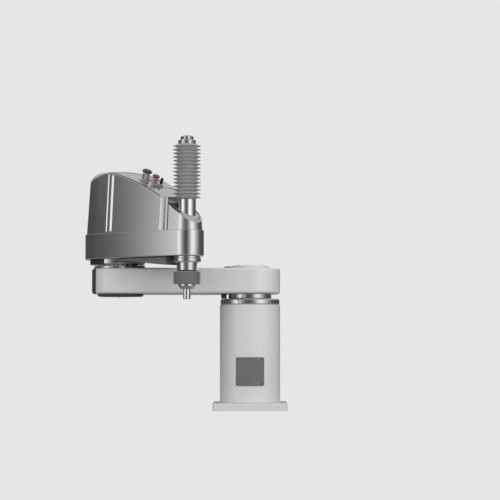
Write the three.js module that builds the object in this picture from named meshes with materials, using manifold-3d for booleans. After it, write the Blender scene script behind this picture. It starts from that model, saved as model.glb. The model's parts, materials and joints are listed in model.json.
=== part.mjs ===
// SCARA robot arm of the 800 mm class with bellows round its spindle.
// Millimetres, +Z up. The origin is the first joint's axis at the underside of the base plate.
// The rest position is arm 1 along -X, arm 2 folded towards -Y, and the spindle at its top.
import * as THREE from "three";
import { mergeVertices } from "three/addons/utils/BufferGeometryUtils.js";
import Module from "manifold-3d";

const wasm = await Module();
wasm.setup();

// Driving dimensions.
const GAP = 0.3;
const ROUND = 36;
const ARM1_LENGTH = 450;
const ARM2_LENGTH = 350;
const ARM1_HEADING = THREE.MathUtils.degToRad(180);
const ARM2_FOLD = THREE.MathUtils.degToRad(134.1);

const PLATE_SIZE = 250;
const PLATE_TOP = 25;
const COLUMN_RADIUS = 102;
const COLUMN_TOP = 355;
const COLUMN_WALL = 8;
const FRONT_PLATE = { halfWidth: 47.5, bottom: 82, top: 178, thickness: 2 };
const BOX = { halfWidth: 58, back: 130, bottom: 65, top: 245, wall: 8, lid: 5 };
const SOCKET_RECESS = 3;
const J1_RING_TOP = 375;
const ARM1_BOTTOM = 391.5;
const ARM1_TOP = 478;
const J2_RING_SPLIT = 490;
const FIXED_STOP_SPREAD = THREE.MathUtils.degToRad(20);
const MOVING_STOP_SPREAD = THREE.MathUtils.degToRad(7);
const SKIRT_BOTTOM = 508;
const SKIRT_FLOOR = 516;
const SEAM = 593;
const COVER_TOP = 799;

const ARM1_REAR_RADIUS = 102;
const ARM1_FRONT_RADIUS = 87;
const ARM2_REAR_RADIUS = 110;
const ARM2_NOSE_RADIUS = 55.5;
const STRAIGHT_SIDE = 60000;
const SWOLLEN_SIDE = 2100;

const COVER_INSET = 5;
const COVER_WALL = 4;
const COVER_DRAFT = Math.tan(THREE.MathUtils.degToRad(3.7));
const NOSE_JOINT = 319;
const BULKHEAD = [298, 301.7];
const LIP_RELIEF_FROM = 690;
const BELOW_SEAM = 580;
const ABOVE_COVER = 820;
const BEYOND_NOSE = 500;
const RIBS = [{ x: 60, radius: 3 }, { x: 80, radius: 4.5 }];

const PANEL_X = 194;
const PANEL_SLOPE = THREE.MathUtils.degToRad(22.6);
const PANEL_SIZE = [70, 100];
const PANEL_SINK = 14;
const PANEL_TOP = 1;
const PANEL_BOTTOM = -6;
const BIG_FITTING = { x: -14, y: -38, radius: 12.5, height: 32, ringRadius: 17, ringHeight: 10.4 };
const SMALL_FITTING = { x: -14, y: 6, radius: 9.6, height: 18, ringRadius: 12.5, ringHeight: 9.4 };
const BUTTON = { x: 4, y: 19, radius: 5, height: 24 };

const J2_MOTOR_SIZE = 80;
const SPINDLE_MOTOR_SIZE = 58;
const J3_MOTOR_X = 262;
const J4_MOTOR_X = 166;
const NUT_HOUSING_RADIUS = 36;
const BOSS_RADIUS = 29;

const SHAFT_RADIUS = 12.5;
const SHAFT_BOTTOM = 368.5;
const SHAFT_TOP = 905;
const NUT_BORE = SHAFT_RADIUS + GAP;
const BELLOWS_RADIUS = 46;
const BELLOWS_VALLEY = 30;
const BELLOWS_BORE = 20;
const UPPER_BELLOWS = [695.3, 875.7];
const LOWER_BELLOWS = [417.3, 458];
const UPPER_PLEATS = 15;
const LOWER_PLEATS = 8;

// Finishes.
function finish(color, roughness, metalness) {
  return new THREE.MeshStandardMaterial({ color, roughness, metalness });
}

const whitePaint = () => finish(0xd9d8d9, 0.5, 0.0);
const satinNickel = () => finish(0x8d8d8c, 0.3, 0.9);
const chrome = () => finish(0xc9c9cb, 0.12, 1.0);
const darkMetal = () => finish(0x4b4b4d, 0.45, 0.6);
const darkPaint = () => finish(0x66646a, 0.5, 0.2);
const blackPlastic = () => finish(0x1d1d1f, 0.5, 0.0);
const rubberGrey = () => finish(0x7c7d77, 0.7, 0.0);
const motorBlack = () => finish(0x2a2a2c, 0.6, 0.3);
const steel = () => finish(0x9a9ca0, 0.25, 1.0);
const blueRing = () => finish(0x25324a, 0.5, 0.0);
const orangeRing = () => finish(0xb0421c, 0.5, 0.0);

// Booleans.
function solidOf(geometry) {
  const bare = geometry.clone();
  bare.deleteAttribute("normal");
  bare.deleteAttribute("uv");
  const merged = mergeVertices(bare, 1e-4);
  const corners = merged.index.array;
  const triVerts = [];
  for (let i = 0; i < corners.length; i += 3) {
    const [a, b, c] = corners.slice(i, i + 3);
    if (a !== b && b !== c && c !== a) triVerts.push(a, b, c);
  }
  const vertProperties = Float32Array.from(merged.attributes.position.array);
  return new wasm.Manifold(
    new wasm.Mesh({ numProp: 3, vertProperties, triVerts: Uint32Array.from(triVerts) }));
}

function geometryOf(solid) {
  const mesh = solid.getMesh();
  const geometry = new THREE.BufferGeometry();
  geometry.setAttribute("position", new THREE.BufferAttribute(mesh.vertProperties, 3));
  geometry.setIndex(new THREE.BufferAttribute(mesh.triVerts, 1));
  geometry.computeVertexNormals();
  return geometry;
}

function cut(geometry, ...tools) {
  const solid = tools.reduce((rest, tool) => rest.subtract(solidOf(tool)), solidOf(geometry));
  return geometryOf(solid);
}

function join(geometry, ...others) {
  return geometryOf(others.reduce((sum, other) => sum.add(solidOf(other)), solidOf(geometry)));
}

function common(geometry, other) {
  return geometryOf(solidOf(geometry).intersect(solidOf(other)));
}

// Shapes.
function turned(profile, segments = ROUND) {
  const points = [...profile, profile[0]].map(([radius, z]) => new THREE.Vector2(radius, z));
  return new THREE.LatheGeometry(points, segments).rotateX(Math.PI / 2);
}

function tube(outer, inner, bottom, top, segments = ROUND) {
  return turned([[inner, bottom], [outer, bottom], [outer, top], [inner, top]], segments);
}

function disc(radius, bottom, top, chamfer = 0, segments = ROUND) {
  const rim = chamfer ? [[radius, top - chamfer], [radius - chamfer, top]] : [[radius, top]];
  const points = [[0, bottom], [radius, bottom], ...rim, [0, top]];
  return new THREE.LatheGeometry(points.map(([r, z]) => new THREE.Vector2(r, z)), segments)
    .rotateX(Math.PI / 2);
}

function block(x0, x1, y0, y1, z0, z1) {
  return new THREE.BoxGeometry(x1 - x0, y1 - y0, z1 - z0)
    .translate((x0 + x1) / 2, (y0 + y1) / 2, (z0 + z1) / 2);
}

function extruded(shape, bottom, top, curveSegments = 12) {
  return new THREE.ExtrudeGeometry(shape, { depth: top - bottom, bevelEnabled: false, curveSegments })
    .translate(0, 0, bottom);
}

function roundedRectangle(width, depth, radius) {
  const x = width / 2;
  const y = depth / 2;
  const shape = new THREE.Shape();
  shape.absarc(x - radius, y - radius, radius, 0, Math.PI / 2);
  shape.absarc(radius - x, y - radius, radius, Math.PI / 2, Math.PI);
  shape.absarc(radius - x, radius - y, radius, Math.PI, Math.PI * 1.5);
  shape.absarc(x - radius, radius - y, radius, Math.PI * 1.5, Math.PI * 2);
  return shape;
}

function circleHole(x, y, radius) {
  return new THREE.Path().absarc(x, y, radius, 0, Math.PI * 2, true);
}

// A curved block between two radii, centred on the direction `middle`.
function sector(inner, outer, middle, halfWidth, bottom, top) {
  const shape = new THREE.Shape();
  shape.absarc(0, 0, outer, middle - halfWidth, middle + halfWidth, false);
  shape.absarc(0, 0, inner, middle + halfWidth, middle - halfWidth, true);
  return extruded(shape, bottom, top, 8);
}

// An arm's plan view: a rear circle at the origin and a front circle at (length, 0), joined on
// each side by an arc of radius `side` that is tangent to both. Returns the half outline from
// the front tip round +Y to the rear tip, as points with their outward normals.
function halfOutline(rear, front, length, side, steps) {
  const toRear = side - rear;
  const toFront = side - front;
  const centreX = (toRear ** 2 - toFront ** 2 + length ** 2) / (2 * length);
  const centreY = -Math.sqrt(toRear ** 2 - centreX ** 2);
  const frontTurn = Math.atan2(-centreY, length - centreX);
  const rearTurn = Math.atan2(-centreY, -centreX);
  const arcs = [
    { x: length, y: 0, radius: front, from: 0, to: frontTurn, steps: steps[0] },
    { x: centreX, y: centreY, radius: side, from: frontTurn, to: rearTurn, steps: steps[1] },
    { x: 0, y: 0, radius: rear, from: rearTurn, to: Math.PI, steps: steps[2] },
  ];
  const points = [];
  for (const arc of arcs) {
    for (let i = 0; i < arc.steps; i += 1) {
      points.push(pointOnArc(arc, arc.from + ((arc.to - arc.from) * i) / arc.steps));
    }
  }
  points.push(pointOnArc(arcs[2], Math.PI));
  return points;
}

function pointOnArc(arc, angle) {
  const normal = new THREE.Vector2(Math.cos(angle), Math.sin(angle));
  return { at: new THREE.Vector2(arc.x, arc.y).addScaledVector(normal, arc.radius), normal };
}

// The whole outline, counter-clockwise, set in by `inset`.
function fullOutline(half, inset) {
  const upper = half.map(({ at, normal }) => at.clone().addScaledVector(normal, -inset));
  upper[0].y = 0;
  upper[upper.length - 1].y = 0;
  const lower = upper.slice(1, -1).reverse().map((point) => new THREE.Vector2(point.x, -point.y));
  return [...upper, ...lower];
}

function prism(half, inset, bottom, top) {
  return extruded(new THREE.Shape(fullOutline(half, inset)), bottom, top);
}

const arm1Half = halfOutline(
  ARM1_REAR_RADIUS, ARM1_FRONT_RADIUS, ARM1_LENGTH, STRAIGHT_SIDE, [14, 1, 14]);
const arm2Half = halfOutline(
  ARM2_REAR_RADIUS, ARM2_NOSE_RADIUS, ARM2_LENGTH, SWOLLEN_SIDE, [11, 9, 13]);

// The height of the cover's top above the base, along arm 2: level at the rear, then falling
// towards the nose. The main cover ends in a level lip, which stands above the nose cover.
const slopingCrest = [
  [-120, COVER_TOP], [-26, COVER_TOP], [53, 797], [101, 788], [155, 770], [190, 756],
  [225, 741], [262, 721],
];
const mainCrest = crestCurve([...slopingCrest, [288, 706.5], [303, 703], [340, 701], [430, 700]]);
const noseCrest = crestCurve([...slopingCrest, [314, 686], [345, 661], [378, 640], [430, 592]]);

function crestCurve(points) {
  return new THREE.SplineCurve(points.map(([x, z]) => new THREE.Vector2(x, z))).getPoints(60);
}

function crestHeight(x, crest = mainCrest) {
  const after = crest.findIndex((point) => point.x > x);
  const [a, b] = [crest[after - 1], crest[after]];
  return a.y + ((b.y - a.y) * (x - a.x)) / (b.x - a.x);
}

// The top edge is well rounded at the rear and crisp along the sloping front.
function edgeRadius(x) {
  return THREE.MathUtils.lerp(36, 5, THREE.MathUtils.smoothstep(x, -65, 52));
}

// The cover's outer form, or its hollow when `wall` is the wall's thickness.
function coverForm(crest, wall, bottom) {
  const arcSteps = 3;
  const rows = [];
  const placeRing = (point, up) => {
    const { at, normal } = point;
    const straight = at.clone().addScaledVector(normal, -COVER_INSET - wall);
    const radius = edgeRadius(straight.x);
    const topZ = crestHeight(straight.x, crest) - wall;
    const angle = up < 0 ? 0 : (up * Math.PI) / 2 / arcSteps;
    const z = up < 0 ? bottom : topZ - radius + radius * Math.sin(angle);
    const lean = (z - SEAM) * COVER_DRAFT + radius * (1 - Math.cos(angle));
    const placed = straight.addScaledVector(normal, -lean);
    return [placed.x, placed.y, z];
  };
  for (let up = -1; up <= arcSteps; up += 1) {
    rows.push(arm2Half.map((point) => placeRing(point, up)));
  }
  const last = arm2Half.length - 1;
  for (const row of rows) {
    row[0][1] = 0;
    row[last][1] = 0;
  }
  const positions = [];
  const rings = rows.map((row) => {
    const ring = [];
    for (let i = 0; i <= last; i += 1) ring.push(positions.push(row[i]) - 1);
    for (let i = last - 1; i > 0; i -= 1) {
      ring.push(positions.push([row[i][0], -row[i][1], row[i][2]]) - 1);
    }
    return ring;
  });
  const faces = [];
  const quad = (a, b, c, d) => faces.push(a, b, c, a, c, d);
  const count = rings[0].length;
  for (let r = 0; r + 1 < rings.length; r += 1) {
    for (let i = 0; i < count; i += 1) {
      const next = (i + 1) % count;
      quad(rings[r][i], rings[r][next], rings[r + 1][next], rings[r + 1][i]);
    }
  }
  faces.push(...acrossFaces(rings[rings.length - 1], last));
  faces.push(...acrossFaces(rings[0], last).reverse());
  const geometry = new THREE.BufferGeometry();
  geometry.setAttribute("position", new THREE.Float32BufferAttribute(positions.flat(), 3));
  geometry.setIndex(faces);
  return geometry;
}

// Closes a ring with faces that run straight across the arm, from one side to the other.
function acrossFaces(ring, last) {
  const mirror = (i) => ring[(ring.length - i) % ring.length];
  const faces = [];
  for (let i = 0; i < last; i += 1) {
    if (i > 0) faces.push(ring[i], ring[i + 1], mirror(i));
    if (i + 1 < last) faces.push(ring[i + 1], mirror(i + 1), mirror(i));
  }
  return faces;
}

// A pleated tube with a plain bore.
function bellows(bottom, top, pleats, segments) {
  const profile = [[BELLOWS_BORE, bottom]];
  const pitch = (top - bottom) / pleats;
  for (let i = 0; i < pleats; i += 1) {
    profile.push([BELLOWS_VALLEY, bottom + i * pitch]);
    profile.push([BELLOWS_RADIUS, bottom + (i + 0.5) * pitch]);
  }
  profile.push([BELLOWS_VALLEY, top], [BELLOWS_BORE, top]);
  return turned(profile, segments);
}

// A servo motor: a square body with its smaller encoder housing at the other end.
function motor(x, size, bottom, top, encoderLength, encoderAbove = true) {
  const half = size / 2;
  const small = half * 0.8;
  const split = encoderAbove ? top - encoderLength : bottom + encoderLength;
  const body = encoderAbove ? [bottom, split] : [split, top];
  const encoder = encoderAbove ? [split - 1, top] : [bottom, split + 1];
  return join(
    block(x - half, x + half, -half, half, ...body),
    block(x - small, x + small, -small, small, ...encoder));
}

// A toothed belt's loop between the spindle's pulley and a motor's pulley.
function beltLoop(motorX, bottom, top) {
  const outer = halfOutline(17, 32.4, ARM2_LENGTH - motorX, STRAIGHT_SIDE, [10, 1, 10]);
  const shape = new THREE.Shape(fullOutline(outer, 0));
  shape.holes.push(new THREE.Path(fullOutline(outer, 1.8).reverse()));
  return extruded(shape, bottom, top).translate(motorX, 0, 0);
}

// A push-in air fitting along +Z: hexagon foot, round body and a shallow mouth.
function fittingBody(height, radius) {
  const body = disc(radius, 3, height, 1.5, 20);
  const foot = new THREE.CylinderGeometry(radius * 1.15, radius * 1.15, 7, 6)
    .rotateX(Math.PI / 2).translate(0, 0, 3.5);
  return join(foot, body);
}

const robot = new THREE.Group();
robot.name = "scara_robot_arm";

function add(group, name, geometry, material) {
  const mesh = new THREE.Mesh(geometry, material);
  mesh.name = name;
  group.add(mesh);
  return mesh;
}

buildBase(robot);
const arm1 = new THREE.Group();
arm1.rotation.z = ARM1_HEADING;
robot.add(arm1);
buildArm1(arm1);
const arm2 = new THREE.Group();
arm2.position.x = ARM1_LENGTH;
arm2.rotation.z = ARM2_FOLD;
arm1.add(arm2);
buildArm2(arm2);
buildUserPanel(arm2);
const spindle = new THREE.Group();
spindle.position.x = ARM2_LENGTH;
arm2.add(spindle);
buildSpindle(spindle);

// Base: plate, column, rear connector box, first motor and reducer.
function buildBase(group) {
  const plate = roundedRectangle(PLATE_SIZE, PLATE_SIZE, 6);
  const boltOffset = PLATE_SIZE / 2 - 20;
  for (const [x, y] of [[1, 1], [-1, 1], [-1, -1], [1, -1]]) {
    plate.holes.push(circleHole(x * boltOffset, y * boltOffset, 5.5));
  }
  add(group, "base_plate", extruded(plate, 0, PLATE_TOP, 6), whitePaint());

  const column = tube(
    COLUMN_RADIUS, COLUMN_RADIUS - COLUMN_WALL, PLATE_TOP + GAP, COLUMN_TOP - GAP, 64);
  const rearWindow = block(-42, 42, 60, COLUMN_RADIUS + 1, 85, 225);
  add(group, "base_column", cut(column, rearWindow), whitePaint());

  const frontOuter = COLUMN_RADIUS + GAP + FRONT_PLATE.thickness;
  const front = sector(
    COLUMN_RADIUS + GAP, frontOuter, -Math.PI / 2, Math.asin(FRONT_PLATE.halfWidth / frontOuter),
    FRONT_PLATE.bottom, FRONT_PLATE.top);
  add(group, "column_front_plate", front, darkPaint());

  const { halfWidth, back, bottom, top, lid } = BOX;
  const inside = halfWidth - BOX.wall;
  const box = cut(
    block(-halfWidth, halfWidth, 70, back, bottom, top),
    tube(COLUMN_RADIUS + GAP, 1, bottom - 5, top + 5, 64),
    block(-inside, inside, 60, back - lid, bottom + 10, top - 10));
  add(group, "rear_connector_box", box, whitePaint());
  const face = back + GAP;
  const socket = (x, z, width, height, depth) => cut(
    block(x - width / 2, x + width / 2, face, face + depth, z - height / 2, z + height / 2),
    block(x - width / 2 + 3, x + width / 2 - 3, face + depth - SOCKET_RECESS, face + depth + 1,
      z - height / 2 + 3, z + height / 2 - 3));
  add(group, "power_connector", socket(-24, 208, 42, 26, 14), blackPlastic());
  add(group, "signal_connector", socket(26, 208, 34, 26, 14), blackPlastic());
  add(group, "base_user_connector", socket(0, 168, 40, 14, 8), steel());
  [-32, 0, 32].forEach((x, i) => {
    const fitting = fittingBody(18, 8).rotateX(-Math.PI / 2).translate(x, face, 130);
    add(group, `base_air_fitting_${i + 1}`, fitting, steel());
  });

  const ring = turned([
    [46, 338], [93.4, 338], [93.4, COLUMN_TOP], [98, COLUMN_TOP], [100, COLUMN_TOP + 2],
    [100, J1_RING_TOP - 3], [97, J1_RING_TOP], [46, J1_RING_TOP],
  ]);
  add(group, "j1_reducer_ring", ring, steel());
  add(group, "j1_motor", motor(0, 86, 140, 300, 40, false), motorBlack());
  const waveGenerator = turned([[0, 301], [14, 301], [14, 312], [42, 318], [42, 350], [0, 350]], 32);
  add(group, "j1_wave_generator", waveGenerator, steel());
  const fixedStop = sector(
    80, 97, Math.PI / 2, FIXED_STOP_SPREAD, J1_RING_TOP + GAP, 388);
  add(group, "j1_fixed_stop", fixedStop, darkMetal());
}

// Arm 1, along its own +X, with its second joint at (ARM1_LENGTH, 0).
function buildArm1(group) {
  const output = turned([
    [16, 354], [44, 354], [44, J1_RING_TOP + GAP], [72, J1_RING_TOP + GAP],
    [72, ARM1_BOTTOM - GAP], [16, ARM1_BOTTOM - GAP],
  ]);
  add(group, "j1_output_ring", output, steel());
  const movingStop = sector(
    80, 98, 0, MOVING_STOP_SPREAD, J1_RING_TOP + 2, ARM1_BOTTOM - GAP);
  add(group, "j1_moving_stop", movingStop, darkMetal());

  const endX = ARM1_LENGTH + 70;
  const outside = ARM1_LENGTH + 100;
  const body = prism(arm1Half, 0, ARM1_BOTTOM, ARM1_TOP);
  const casting = cut(
    body,
    block(endX, outside, -100, 100, ARM1_BOTTOM - 1, ARM1_TOP + 1),
    block(20, ARM1_LENGTH - 20, -60, 60, ARM1_BOTTOM + 10, ARM1_TOP - 10),
    disc(40, ARM1_BOTTOM - 1, ARM1_TOP + 1),
    disc(60, ARM1_BOTTOM - 1, 436).translate(ARM1_LENGTH, 0, 0),
    disc(46, 430, ARM1_TOP + 1).translate(ARM1_LENGTH, 0, 0));
  add(group, "arm1_casting", casting, whitePaint());
  const endCover = common(
    body, block(endX + GAP, outside, -100, 100, ARM1_BOTTOM - 1, ARM1_TOP + 1));
  add(group, "arm1_end_cover", endCover, darkMetal());
  add(group, "arm1_top_cover", disc(64, ARM1_TOP + GAP, 488, 4), whitePaint());
  add(group, "arm1_cable_clip", block(65, 87, -9, 9, ARM1_TOP + GAP, 485.5), blackPlastic());

  const bottomCover = halfOutline(70, 70, 16, STRAIGHT_SIDE, [12, 1, 12]);
  add(group, "arm1_bottom_cover",
    prism(bottomCover, 0, 383, ARM1_BOTTOM - GAP).translate(ARM1_LENGTH - 18, 0, 0), darkMetal());

  const lowerRing = turned([
    [18, 440], [44, 440], [44, ARM1_TOP + GAP], [80, ARM1_TOP + GAP], [80, 487.8],
    [78, J2_RING_SPLIT - GAP], [44, J2_RING_SPLIT - GAP], [44, 514], [18, 514],
  ]);
  add(group, "j2_lower_ring", lowerRing.translate(ARM1_LENGTH, 0, 0), steel());
  const fixedStop = sector(
    81, 93, Math.PI, FIXED_STOP_SPREAD, ARM1_TOP + GAP, 487);
  add(group, "j2_fixed_stop", fixedStop.translate(ARM1_LENGTH, 0, 0), darkMetal());
}

// Arm 2, along its own +X from the second joint, with the spindle at (ARM2_LENGTH, 0).
function buildArm2(group) {
  const upperRing = turned([
    [46, J2_RING_SPLIT], [90, J2_RING_SPLIT], [92, J2_RING_SPLIT + 2],
    [92, SKIRT_BOTTOM - GAP], [46, SKIRT_BOTTOM - GAP],
  ]);
  add(group, "j2_upper_ring", upperRing, steel());
  const movingStop = sector(
    81, 91, 0, MOVING_STOP_SPREAD, ARM1_TOP + 2, J2_RING_SPLIT - GAP);
  add(group, "j2_moving_stop", movingStop, darkMetal());

  const housing = cut(
    prism(arm2Half, 0, SKIRT_BOTTOM, SEAM - GAP),
    prism(arm2Half, 6, SKIRT_FLOOR, SEAM + 1),
    disc(47, SKIRT_BOTTOM - 1, SKIRT_FLOOR + 1),
    disc(24, SKIRT_BOTTOM - 1, SKIRT_FLOOR + 1).translate(ARM2_LENGTH, 0, 0));
  add(group, "arm2_housing", housing, satinNickel());

  const wedge = new THREE.Shape([
    new THREE.Vector2(96, SKIRT_BOTTOM - GAP),
    new THREE.Vector2(96, 501),
    new THREE.Vector2(302, 480),
    new THREE.Vector2(302, SKIRT_BOTTOM - GAP),
  ]);
  const wedgeSolid = extruded(wedge, -120, 120).rotateX(Math.PI / 2);
  add(group, "arm2_bottom_pan",
    common(prism(arm2Half, 16, 470, SKIRT_BOTTOM - GAP), wedgeSolid), darkPaint());


  // The main cover is closed by a bulkhead a little short of its front edge.
  const shell = (crest) => cut(
    coverForm(crest, 0, SEAM), coverForm(crest, COVER_WALL, SEAM - 10));
  const [panelX, panelY] = PANEL_SIZE.map((size) => size / 2 + GAP);
  const panelCut = placedOnPanel(
    block(-panelX, panelX, -panelY, panelY, -PANEL_SINK, PANEL_SINK));
  const bulkhead = common(
    coverForm(mainCrest, 0.5, SEAM), block(...BULKHEAD, -100, 100, BELOW_SEAM, ABOVE_COVER));
  const mainCover = join(
    cut(
      join(shell(mainCrest), bulkhead),
      panelCut,
      block(NOSE_JOINT, BEYOND_NOSE, -100, 100, BELOW_SEAM, ABOVE_COVER),
      disc(BELLOWS_RADIUS + 2, LIP_RELIEF_FROM, ABOVE_COVER).translate(ARM2_LENGTH, 0, 0)),
    ...RIBS.map(sideRib));
  add(group, "arm2_main_cover", mainCover, satinNickel());

  // A tongue at the nose cover's top tucks under the main cover's lip.
  const noseShell = shell(noseCrest);
  const tongue = common(
    noseShell, block(BULKHEAD[1] + 2 * GAP, NOSE_JOINT + 3, -40, 40, 660, 720));
  const noseCover = cut(
    join(
      cut(noseShell, block(-150, NOSE_JOINT + 1.2, -150, 150, BELOW_SEAM, ABOVE_COVER)), tongue),
    disc(BOSS_RADIUS + GAP, BELOW_SEAM, ABOVE_COVER).translate(ARM2_LENGTH, 0, 0));
  add(group, "arm2_nose_cover", noseCover, satinNickel());

  add(group, "j2_reducer", tube(70, 45, SKIRT_FLOOR + GAP, 548), darkMetal());
  const waveGenerator = turned([[0, 517], [40, 517], [40, 543], [14, 547], [14, 551], [0, 551]], 32);
  add(group, "j2_wave_generator", waveGenerator, steel());
  add(group, "j2_motor", motor(0, J2_MOTOR_SIZE, 552, 700, 36), motorBlack());
  add(group, "j3_motor", motor(J3_MOTOR_X, SPINDLE_MOTOR_SIZE, 566, 672, 28), motorBlack());
  add(group, "j4_motor", motor(J4_MOTOR_X, SPINDLE_MOTOR_SIZE, 549.5, 672, 28), motorBlack());
  const pulley = (x, bottom, top) => disc(15, bottom, top, 0, 24).translate(x, 0, 0);
  add(group, "j3_motor_pulley", pulley(J3_MOTOR_X, 552, 565.5), steel());
  add(group, "j4_motor_pulley", pulley(J4_MOTOR_X, 537, 549), steel());
  add(group, "j3_belt", beltLoop(J3_MOTOR_X, 553.5, 560.5), blackPlastic());
  add(group, "j4_belt", beltLoop(J4_MOTOR_X, 538.5, 545.5), blackPlastic());
}

// A half-round rib that runs up the cover's near side.
function sideRib({ x, radius }) {
  const point = arm2Half.find(({ at }) => at.x < x);
  const across = point.at.y - COVER_INSET;
  const low = SEAM + 1;
  const high = crestHeight(x) - 12;
  const rib = new THREE.CylinderGeometry(radius, radius, high - low, 12)
    .rotateX(Math.PI / 2).translate(0, 0, (high + low) / 2);
  const shear = new THREE.Matrix4().makeShear(0, 0, 0, 0, 0, COVER_DRAFT);
  rib.translate(0, 0, -SEAM).applyMatrix4(shear).translate(x, -across + 1, SEAM);
  return rib;
}

// The user panel lies in the sloping top; this places a geometry made flat at the origin.
function placedOnPanel(geometry) {
  return geometry.rotateY(PANEL_SLOPE).translate(PANEL_X, 0, crestHeight(PANEL_X));
}

function buildUserPanel(group) {
  const plate = roundedRectangle(...PANEL_SIZE, 4);
  plate.holes.push(circleHole(BUTTON.x, BUTTON.y, BUTTON.radius + 2 * GAP));
  add(group, "user_plate", placedOnPanel(extruded(plate, PANEL_BOTTOM, PANEL_TOP, 8)), steel());
  const seat = PANEL_TOP + GAP;
  const fitting = ({ x, y, radius, height }) => placedOnPanel(
    fittingBody(height, radius).translate(x, y, seat));
  const ring = ({ x, y, height, ringRadius, ringHeight }) => placedOnPanel(
    tube(ringRadius, 4, 0, ringHeight, 20).translate(x, y, seat + height + GAP));
  add(group, "user_air_fitting_1", fitting(BIG_FITTING), chrome());
  add(group, "user_air_fitting_2", fitting(SMALL_FITTING), chrome());
  add(group, "release_ring_1", ring(BIG_FITTING), blueRing());
  add(group, "release_ring_2", ring(SMALL_FITTING), orangeRing());
  const socket = cut(block(16, 30, -34, 10, seat, 7), block(18.5, 27.5, -30, 6, 5, 8));
  add(group, "user_connector", placedOnPanel(socket), steel());
  const button = disc(BUTTON.radius, PANEL_BOTTOM + 2, BUTTON.height, 1, 20);
  add(group, "brake_release_button",
    placedOnPanel(button.translate(BUTTON.x, BUTTON.y, 0)), blackPlastic());
}

// Spindle: boss, flange and nuts on arm 2, the bellows with their collars, and the shaft.
function buildSpindle(group) {
  const flange = turned([
    [14, 458 + GAP], [33, 458 + GAP], [33, 489], [BELLOWS_RADIUS, 489],
    [BELLOWS_RADIUS, SKIRT_BOTTOM - GAP], [14, SKIRT_BOTTOM - GAP],
  ]);
  add(group, "spindle_lower_flange", flange, steel());
  add(group, "spline_nut_housing", tube(NUT_HOUSING_RADIUS, 24, SKIRT_FLOOR + GAP, 536), steel());
  const splineNut = turned([
    [NUT_BORE, 517], [22, 517], [22, 537], [30, 537], [30, 547], [NUT_BORE, 547],
  ], 32);
  add(group, "spline_nut", splineNut, steel());
  const screwNut = turned([
    [NUT_BORE, 552], [30, 552], [30, 562], [22, 562], [22, 600], [NUT_BORE, 600],
  ], 32);
  add(group, "ball_screw_nut", screwNut, steel());
  add(group, "screw_nut_housing", tube(NUT_HOUSING_RADIUS, 24, 563, 604), steel());
  add(group, "bellows_boss",
    tube(BOSS_RADIUS, 15, 604 + GAP, UPPER_BELLOWS[0] - GAP), chrome());

  add(group, "upper_bellows", bellows(...UPPER_BELLOWS, UPPER_PLEATS, 16), rubberGrey());
  add(group, "lower_bellows", bellows(...LOWER_BELLOWS, LOWER_PLEATS, 16), rubberGrey());
  const upperCollar = turned([
    [NUT_BORE, UPPER_BELLOWS[1] + GAP], [29, UPPER_BELLOWS[1] + GAP], [29, 888], [27, 890],
    [NUT_BORE, 890],
  ], 32);
  add(group, "upper_bellows_collar", upperCollar, steel());
  const lowerCollar = turned([
    [NUT_BORE, 401], [19, 401], [29, 410], [29, LOWER_BELLOWS[0] - GAP],
    [NUT_BORE, LOWER_BELLOWS[0] - GAP],
  ], 32);
  add(group, "lower_bellows_collar", lowerCollar, steel());
  const shaft = turned([
    [0, SHAFT_BOTTOM], [SHAFT_RADIUS - 1, SHAFT_BOTTOM], [SHAFT_RADIUS, SHAFT_BOTTOM + 1],
    [SHAFT_RADIUS, SHAFT_TOP - 1], [SHAFT_RADIUS - 1, SHAFT_TOP], [0, SHAFT_TOP],
  ], 32);
  add(group, "spindle_shaft", shaft, chrome());
  const stopCollar = tube(21, NUT_BORE, 891, 901, 32);
  add(group, "shaft_stop_collar", stopCollar, steel());
}

export default robot;
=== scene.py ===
# Looks of a SCARA robot arm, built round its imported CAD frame.
# Lengths inside the shape functions are millimetres; `place` matrices turn them into metres.
import json
import math

import bmesh
import bpy
from mathutils import Matrix, Vector

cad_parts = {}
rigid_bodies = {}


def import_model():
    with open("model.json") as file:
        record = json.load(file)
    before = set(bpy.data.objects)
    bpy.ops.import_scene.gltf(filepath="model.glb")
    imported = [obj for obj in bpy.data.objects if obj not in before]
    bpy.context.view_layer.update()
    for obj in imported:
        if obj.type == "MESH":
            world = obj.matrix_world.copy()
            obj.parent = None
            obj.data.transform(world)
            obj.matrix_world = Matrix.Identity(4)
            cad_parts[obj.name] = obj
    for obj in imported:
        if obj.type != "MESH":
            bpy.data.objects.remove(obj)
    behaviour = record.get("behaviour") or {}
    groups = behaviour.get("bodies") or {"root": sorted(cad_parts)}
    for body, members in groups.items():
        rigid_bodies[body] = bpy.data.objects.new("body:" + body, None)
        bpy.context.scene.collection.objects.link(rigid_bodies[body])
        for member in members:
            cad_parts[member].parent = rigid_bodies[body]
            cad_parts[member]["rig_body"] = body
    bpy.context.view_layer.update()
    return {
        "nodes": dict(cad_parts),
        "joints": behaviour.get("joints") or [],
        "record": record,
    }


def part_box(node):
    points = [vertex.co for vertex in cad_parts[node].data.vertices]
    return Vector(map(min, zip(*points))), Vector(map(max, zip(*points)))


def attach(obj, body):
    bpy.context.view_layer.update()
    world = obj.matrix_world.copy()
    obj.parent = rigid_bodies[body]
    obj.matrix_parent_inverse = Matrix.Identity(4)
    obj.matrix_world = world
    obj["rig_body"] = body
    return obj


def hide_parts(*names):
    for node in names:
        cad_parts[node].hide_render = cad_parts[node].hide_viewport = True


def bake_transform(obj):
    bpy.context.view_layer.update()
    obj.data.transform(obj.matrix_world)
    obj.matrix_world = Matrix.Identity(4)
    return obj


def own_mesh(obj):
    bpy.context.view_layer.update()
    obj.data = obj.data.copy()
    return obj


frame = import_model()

MM = 0.001
JOINTS = {joint["name"]: joint for joint in frame["joints"]}
J2 = Vector(JOINTS["j2"]["pos_m"])
SPINDLE = Vector(JOINTS["u"]["pos_m"])

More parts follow.
